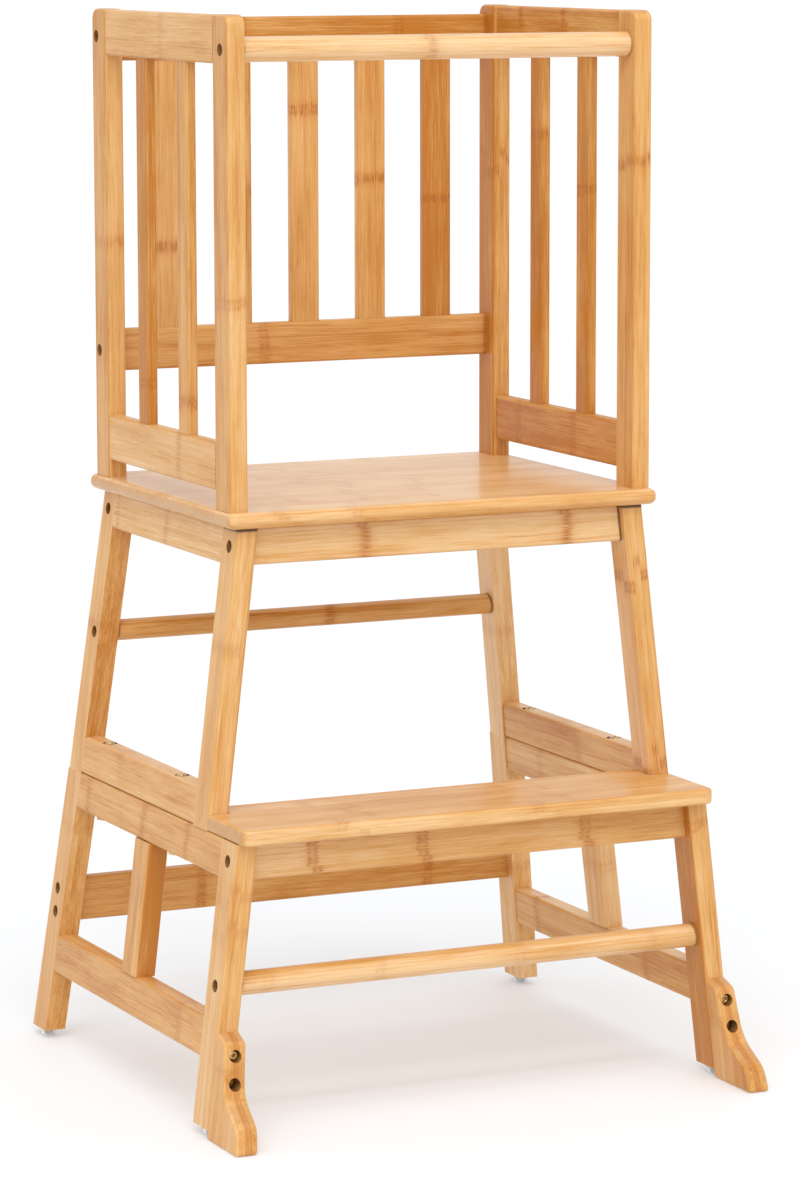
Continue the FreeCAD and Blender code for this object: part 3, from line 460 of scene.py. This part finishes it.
GRAIN = {
    "back_top_rail": (X, Z, 20.0), "back_lower_rail": (X, Z, 18.0), "safety_bar": (X, Z, 9.0),
    "rear_stretcher": (X, Z, 9.0), "front_stretcher": (X, Z, 9.0), "platform_board": (X, Y, 21.0),
    "step_board": (X, Y, 21.0), "apron_front": (X, Z, 32.0), "apron_rear": (X, Z, 26.0),
    "base_front_apron": (X, Z, 26.0), "base_rear_board": (X, Z, 38.0),
    **{f"back_slat_{number}": (Z, X, 60.0) for number in range(1, 6)}}
for side_name, side in SIDES:
    GRAIN.update({f"{kind}_{side_name}": grain for kind, grain in side_grain(side).items()})


def look(*marks, leftward=0.0, upward=0.0, forward=0.0, **rest):
    """Node marks at places along the grain, and the tone that is added to faces turned some way:
    painted shade where it darkens them, painted light and sheen where it lightens them.
    """
    changes = ((LEFTWARD, leftward), (Z, upward), (FORWARD, forward))
    faces = tuple((direction, light_and_shade_tone) for direction, light_and_shade_tone in changes if light_and_shade_tone)
    return {"marks": marks, "faces": faces, **rest}


# how each piece's own bamboo looks, a tone above 0 being darker; leftward, upward and forward add painted
# shade (above 0) and painted light and sheen (below 0) to faces turned that way
LOOKS = {
    "post_front_left": look(670.0, tone=0.04, strength=0.5, leftward=0.3),
    "post_front_right": look(770.0, tone=0.05, gloss=0.1, spread=30.0, leftward=0.15),
    "post_rear_left": look(702.0, tone=0.1, strength=0.5, leftward=0.25),
    "post_rear_right": look(760.0, tone=0.3, gloss=0.08, spread=24.0, leftward=0.35),
    "side_top_rail_left": look(35.0, tone=0.15, strength=0.3),
    "side_top_rail_right": look(110.0, 29.0, tone=0.45, gloss=0.08),
    "side_bottom_rail_left": look(2.0, tone=0.06, strength=0.5),
    "side_bottom_rail_right": look(114.0, 9.0, tone=0.42, gloss=0.05, strength=0.7),
    "side_slat_front_left": look(581.0, tone=0.2, gloss=0.12, leftward=0.2),
    "side_slat_rear_left": look(590.0, tone=0.5, gloss=0.05, leftward=0.2),
    "side_slat_front_right": look(747.0, tone=0.42, gloss=0.0, leftward=0.15),
    "side_slat_rear_right": look(790.0, tone=0.5, gloss=0.0, leftward=0.15),
    "apron_left": look(42.0, 152.0, tone=-0.12, strength=0.5),
    "apron_right": look(60.0),
    "upper_side_rail_left": look(90.0, tone=0.15, strength=0.2, upward=-0.4),
    "upper_side_rail_right": look(30.0, tone=0.2, strength=0.4, upward=-0.5),
    "base_top_rail_left": look(-68.0, 28.0, 154.0, tone=0.22, strength=0.7),
    "base_top_rail_right": look(-40.0, 110.0, strength=0.4),
    "base_lower_rail_left": look(-89.0, tone=0.25, strength=0.5),
    "base_lower_rail_right": look(149.0, -60.0, tone=0.25, strength=0.7, upward=-0.6),
    "upper_leg_front_left": look(362.0, strength=0.4),
    "upper_leg_front_right": look(406.0, 242.0, tone=0.18, spread=30.0, leftward=-0.25),
    "upper_leg_rear_left": look(330.0, tone=0.08, strength=0.6, forward=0.3),
    "upper_leg_rear_right": look(300.0, tone=-0.2, strength=0.3, leftward=-0.4),
    "base_leg_front_left": look(171.0, 142.0, tone=0.04, strength=0.35, spread=20.0),
    "base_leg_front_right": look(195.0, tone=0.15, strength=0.6, leftward=0.6),
    "base_leg_rear_left": look(144.0, tone=0.03, strength=0.25, forward=0.18),
    "base_leg_rear_right": look(70.0, tone=-0.12, strength=0.3),
    "base_strut_left": look(190.0, tone=0.22, strength=0.4, forward=0.45),
    "base_strut_right": look(124.0, tone=-0.25, strength=0.3),
    "anti_tip_foot_left": look(30.0, tone=-0.05, strength=0.3, forward=0.25),
    "anti_tip_foot_right": look(26.0, tone=0.2, strength=0.3),
    "back_top_rail": look(91.0, -60.0, tone=0.55),
    "back_lower_rail": look(-40.0, tone=0.22, strength=0.8),
    "back_slat_1": look(696.0, tone=0.05),
    "back_slat_2": look(742.0, tone=0.45),
    "back_slat_3": look(812.0, tone=0.1),
    "back_slat_4": look(749.0, tone=0.15),
    "back_slat_5": look(730.5, tone=0.7),
    "safety_bar": look(-8.0, tone=-0.45, strength=0.5, gloss=1.0),
    "rear_stretcher": look(21.0, tone=0.2, gloss=0.1, upward=-0.6),
    "front_stretcher": look(-184.0, -84.0, 45.0, 167.0, tone=-0.35, strength=0.2, gloss=0.5, upward=0.3),
    "platform_board": look(-15.0, -80.0, tone=0.02, strength=0.35, spread=160.0, gloss=0.5, upward=-0.3),
    "step_board": look(-100.0, 78.0, strength=0.35, spread=60.0, forward=-0.2),
    "apron_front": look(-69.5, 117.0, tone=-0.28, strength=1.2),
    "apron_rear": look(20.0),
    "base_front_apron": look(-137.0, -38.0, 112.0, spread=16.0),
    "base_rear_board": look(-93.0, 130.0, tone=0.42, gloss=0.1)}


def in_frame(side, depth, half_width, share, dark):
    """A line in the leaning side frame's own plane, at a depth under its outer face."""
    outward = (side * math.cos(LEAN), 0.0, math.sin(LEAN))
    return (outward, (outer_x(0.0) - depth) * math.cos(LEAN), half_width, share, dark)


def at_legs(*line):
    """A line at each end of a piece between the leaning legs."""
    return tuple(in_frame(side, *line) for side in (-1, 1))


def at_posts(half_width, share, dark):
    """A line at each end of a piece between the posts."""
    return tuple((X, side * (CAGE_SIDE - POST_INNER), half_width, share, dark) for side in (-1, 1))


# dark lines of painted shade: where pieces meet, under the board, and where the upper frames stand on the
# base
SHADE_UNDER_BOARD = ((Z, BOARD_BOTTOM, 3.5, 0.4, NODE_TAN),)
FRAME_JOINT_SHADE = ((Z, SEAM, 0.4, 0.2, SHADE_BROWN),)
DOWEL_END_SHADE = at_legs(LEG + 1.0, 1.6, 0.6, SHADE_BROWN)
RAIL_END_SHADE = at_posts(4.0, 0.5, NODE_BROWN)
SHADE_AND_PLY_LINES = {
    "apron_front": SHADE_UNDER_BOARD + at_legs(LEG + 0.8, 1.7, 0.8, SHADE_BROWN),
    "front_stretcher": DOWEL_END_SHADE,
    "rear_stretcher": DOWEL_END_SHADE,
    "safety_bar": at_posts(1.2, 0.5, SHADE_BROWN),
    "back_top_rail": RAIL_END_SHADE,
    "back_lower_rail": RAIL_END_SHADE,
    "base_front_apron": ((Z, SEAM, 4.0, 0.35, NODE_TAN),)}
BORES = {}
for side_name, side in SIDES:
    SHADE_AND_PLY_LINES[f"apron_{side_name}"] = SHADE_UNDER_BOARD
    SHADE_AND_PLY_LINES[f"upper_side_rail_{side_name}"] = FRAME_JOINT_SHADE
    SHADE_AND_PLY_LINES[f"base_top_rail_{side_name}"] = FRAME_JOINT_SHADE
    # painted shadow: a dark band at the front legs' tops, under the board
    SHADE_AND_PLY_LINES[f"upper_leg_front_{side_name}"] = ((Z, BOARD_BOTTOM, 4.0, 0.95, SHADE_BROWN),)
    SHADE_AND_PLY_LINES[f"anti_tip_foot_{side_name}"] = (in_frame(side, LEG / 2, 3.0, 0.6, NODE_TAN),
                                           in_frame(side, LEG / 2 + 3.0, 0.5, 0.6, NODE_BROWN))
    for kind, places in BOLTS.items():
        radius, share = (CLAMP_BORE, 0.9) if kind == "upper_side_rail" else (HEAD_BORE, 0.6)
        own_side = mirrored(places) if side_name == "left" else places
        BORES[f"{kind}_{side_name}"] = [(axis, radius, share) for axis in own_side]

FIRST_SEED = 11.0
for number, (node, grain) in enumerate(sorted(GRAIN.items())):
    dress(node, bamboo(f"bamboo_{node}", grain, FIRST_SEED + number, SHADE_AND_PLY_LINES.get(node, ()),
                       BORES.get(node, ()), **LOOKS[node]))


# ---------------------------------------------------------------------------
# Fastenings: turned shapes with hexagonal sockets
# ---------------------------------------------------------------------------
def add_object(name, data):
    """A new object in the scene, at the origin."""
    thing = bpy.data.objects.new(name, data)
    bpy.context.scene.collection.objects.link(thing)
    return thing


def turned(profile, places, around=48):
    """Turned shapes: ring k lies at profile radius r_k and height h_k about an axis, and its
    share s_k pulls the circle onto a hexagon, r = r_k * (1 - s_k + s_k * cos 30 / cos(a mod 60 - 30)).

    places are (point, direction) pairs: the foot of each shape's axis in mm and its outward way.
    """
    radius, height, share = np.array(profile, float).T
    angle = np.linspace(0.0, 2.0 * math.pi, around, endpoint=False)
    folded = np.mod(angle, math.pi / 3) - math.pi / 6
    hexagon = math.cos(math.pi / 6) / np.cos(folded)
    rim = radius[:, None] * (1.0 - share[:, None] + share[:, None] * hexagon[None, :])
    rings = len(profile)
    ring = np.arange(rings - 1)[:, None] * around
    turn = np.arange(around)[None, :]
    after = (turn + 1) % around
    quads = np.stack((ring + turn, ring + after, ring + around + after, ring + around + turn), -1)
    quads = quads.reshape(-1, 4)
    points = []
    faces = []
    for number, (point, direction) in enumerate(places):
        outward = np.array(direction, float) / np.linalg.norm(direction)
        helper = np.array(Y if abs(outward[1]) < 0.7 else Z)
        first = np.cross(helper, outward)
        first /= np.linalg.norm(first)
        second = np.cross(outward, first)
        shape = (rim[..., None] * (np.cos(angle)[None, :, None] * first
                                   + np.sin(angle)[None, :, None] * second)
                 + height[:, None, None] * outward + np.array(point, float))
        points.append(shape.reshape(-1, 3) * MM)
        faces.append(quads + number * rings * around)
    return np.concatenate(points), np.concatenate(faces)


def fastening(name, profile, places, material, replaced):
    """A finished mesh piece on both sides of the stool, smooth but for its sharp edges."""
    points, faces = turned(profile, places + mirrored(places))
    mesh = bpy.data.meshes.new(name)
    mesh.from_pydata(points.tolist(), [], faces.tolist())
    mesh.materials.append(material)
    mesh.polygons.foreach_set("use_smooth", np.ones(len(faces), bool))
    mesh.set_sharp_from_angle(angle=math.radians(35))
    mesh.update()
    piece = add_object(name, mesh)
    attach(piece, "root")
    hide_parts(replaced)


SHANK = 3.0                 # radius of a bolt's shank, in mm
TIP = 0.6                   # chamfer at its tip
SOCKET = 2.0                # from the middle of the hexagonal socket to its corners
SOCKET_LIP = 0.35           # chamfer at its mouth
HEAD_FOOT = 0.15            # chamfer under the head


def socket_bolt(head_radius, head_height, dome, length):
    """Profile from the socket's floor out over the domed head and down the shank to its tip."""
    floor = head_height * 0.35
    flat = head_radius * 0.62
    return ((0.0, floor, 1.0), (SOCKET, floor, 1.0), (SOCKET, head_height - SOCKET_LIP, 1.0),
            (SOCKET + SOCKET_LIP, head_height, 0.6), (flat, head_height, 0.0),
            (head_radius - dome, head_height - dome * 0.25, 0.0),
            (head_radius - dome * 0.3, head_height - dome * 0.7, 0.0),
            (head_radius, head_height - dome, 0.0), (head_radius, HEAD_FOOT, 0.0),
            (head_radius - HEAD_FOOT, 0.0, 0.0), (SHANK, 0.0, 0.0), (SHANK, TIP - length, 0.0),
            (SHANK - TIP, -length, 0.0), (0.0, -length, 0.0))


steel = metal("bolt_steel", colour(124, 84, 50), colour(56, 34, 18), roughness=0.4, seed=3.0)
bronze = metal("bronze_plate", colour(238, 208, 150), colour(170, 128, 72), roughness=0.22, seed=5.0)

JOINT_BOLT = socket_bolt(head_radius=4.3, head_height=5.0, dome=0.8, length=30.0)
CLAMP_BOLT = socket_bolt(head_radius=5.8, head_height=3.6, dome=1.9, length=58.05)

for name, profile, holders, material, slot, node in (
        ("cage_bolt_heads", JOINT_BOLT, ("post_front", "post_rear"), steel, "bolt_steel", "cage_bolts"),
        ("upper_bolt_heads", JOINT_BOLT, ("upper_leg_front", "upper_leg_rear"), steel, "bolt_steel",
         "upper_frame_bolts"),
        ("base_bolt_heads", JOINT_BOLT, ("base_leg_front", "base_leg_rear"), steel, "bolt_steel",
         "base_bolts"),
        ("foot_bolt_heads", JOINT_BOLT, ("anti_tip_foot",), bronze, "bolt_steel", "foot_bolts"),
        ("clamp_bolt_heads", CLAMP_BOLT, ("upper_side_rail",), bronze, "bronze", "frame_bolts")):
    places = [bolt for holder in holders for bolt in BOLTS[holder]]
    fastening(name, profile, places, material, node)

# clear glides: a thin flange under the leg over a rounded pad, as radius, height and hexagon share
GLIDE_TOP = 7.5
GLIDE = ((0.0, GLIDE_TOP, 0.0), (7.2, GLIDE_TOP, 0.0), (7.5, 7.2, 0.0), (7.5, 5.9, 0.0),
         (7.2, 5.6, 0.0), (6.6, 5.2, 0.0), (6.6, 2.4, 0.0), (6.2, 1.2, 0.0), (5.2, 0.4, 0.0),
         (3.6, 0.0, 0.0), (0.0, 0.0, 0.0))
glide_x = outer_x(GLIDE_TOP) - LEG / 2
glides = [((glide_x, y, 0.0), Z) for y in (BASE_LEG_Y, base_rear_y(GLIDE_TOP) - BASE_REAR_LEG_HALF)]
fastening("glides", GLIDE, glides, clear_plastic("clear_plastic"), "floor_glides")

for node, material in (("insert_nuts", steel), ("post_bolts", steel), ("board_screws", steel),
                       ("step_screws", steel), ("frame_nuts", bronze)):
    dress(node, material)

# ---------------------------------------------------------------------------
# Floor, light and camera, in metres
# ---------------------------------------------------------------------------
WHITE = (1.0, 1.0, 1.0, 1.0)
FLOOR_GREY = (0.652, 0.67, 0.69, 1.0)
FLOOR_SIDE = 90.0

floor_finish = Finish("pale_floor")
floor_finish.constants(Base_Color=FLOOR_GREY, Roughness=0.6, Specular_IOR_Level=0.2,
                       Emission_Color=WHITE, Emission_Strength=0.25)
floor_mesh = bpy.data.meshes.new("floor")
corners = [(-FLOOR_SIDE, -FLOOR_SIDE, 0), (FLOOR_SIDE, -FLOOR_SIDE, 0),
           (FLOOR_SIDE, FLOOR_SIDE, 0), (-FLOOR_SIDE, FLOOR_SIDE, 0)]
floor_mesh.from_pydata(corners, [], [(0, 1, 2, 3)])
floor_mesh.materials.append(floor_finish.material)
floor = add_object("floor", floor_mesh)

world = bpy.data.worlds.new("studio")
world.use_nodes = True
background = world.node_tree.nodes["Background"]
background.inputs["Color"].default_value = WHITE
background.inputs["Strength"].default_value = 0.85
bpy.context.scene.world = world

key = bpy.data.lights.new("soft_key", "SUN")
key.energy = 1.3
key.angle = math.radians(60)
key_light = add_object("soft_key", key)
key_light.rotation_euler = Euler((math.radians(33), math.radians(-20), 0.0))

tube = bpy.data.lights.new("strip_light", "AREA")
tube.shape = "RECTANGLE"
tube.size = 2.2
tube.size_y = 0.22
tube.energy = 7.0
tube_light = add_object("strip_light", tube)
tube_light.location = (-0.3, -1.6, 2.3)
tube_light.rotation_euler = Euler((math.radians(42), 0.0, 0.0))

DOWNWARD = 8.526                      # degrees that the view looks down
ROLL = 0.076
FROM_LEFT = 25.124                    # degrees that it stands round to the stool's left

camera = bpy.data.cameras.new("camera")
camera.sensor_fit = "VERTICAL"
camera.sensor_height = 36.0
camera.lens = 137.13
camera.clip_end = 300.0
view = add_object("camera", camera)
view.location = (-1.6204, -3.4867, 0.9786)
view.rotation_euler = Euler((math.radians(90 - DOWNWARD), math.radians(ROLL), math.radians(-FROM_LEFT)))
bpy.context.scene.camera = view
bpy.context.scene.view_settings.view_transform = "Standard"
